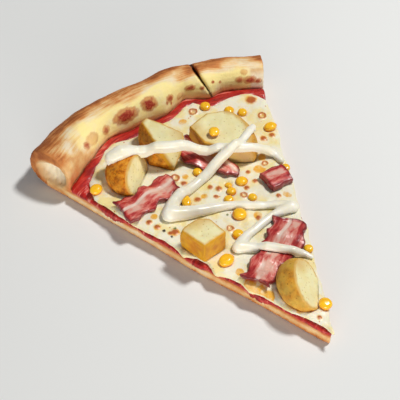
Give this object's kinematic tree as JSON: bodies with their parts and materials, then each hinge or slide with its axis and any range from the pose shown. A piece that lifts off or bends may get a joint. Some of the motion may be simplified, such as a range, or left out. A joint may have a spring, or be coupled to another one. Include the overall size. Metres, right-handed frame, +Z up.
{
  "type": "potato mayo pizza slice",
  "caption": "Wedge-shaped slice of pizza with a risen crust rim, tomato sauce, melted cheese, potato chunks, bacon, sweetcorn and a mayonnaise zigzag.",
  "frame": {"origin": "middle of the underside, on the surface the slice lies on", "axes": "+Y from the tip towards the crust rim, +Z up, +X to the right seen from the tip"},
  "size_m": [0.138, 0.1774, 0.0277],
  "materials": {
    "crust": "baked dough, matt, browned along its outer edge",
    "tomato_sauce": "moist, thick, half gloss",
    "cheese": "melted, oily sheen, toasted spots",
    "mayonnaise": "smooth, soft sheen",
    "potato": "cooked flesh with a golden roasted skin",
    "bacon": "fried, greasy, streaked with fat",
    "sweetcorn": "plump and glossy"
  },
  "bodies": {
    "root": {"crust": "crust", "tomato_sauce": "tomato_sauce", "cheese": "cheese", "mayonnaise": "mayonnaise", "potato_1": "potato", "potato_2": "potato", "potato_3": "potato", "potato_4": "potato", "potato_5": "potato", "bacon_1": "bacon", "bacon_2": "bacon", "bacon_3": "bacon", "bacon_4": "bacon", "corn_01": "sweetcorn", "corn_02": "sweetcorn", "corn_03": "sweetcorn", "corn_04": "sweetcorn", "corn_05": "sweetcorn", "corn_06": "sweetcorn", "corn_07": "sweetcorn", "corn_08": "sweetcorn", "corn_09": "sweetcorn", "corn_10": "sweetcorn", "corn_11": "sweetcorn", "corn_12": "sweetcorn", "corn_13": "sweetcorn", "corn_14": "sweetcorn", "corn_15": "sweetcorn", "corn_16": "sweetcorn", "corn_17": "sweetcorn", "corn_18": "sweetcorn", "corn_19": "sweetcorn"}
  },
  "joints": []
}
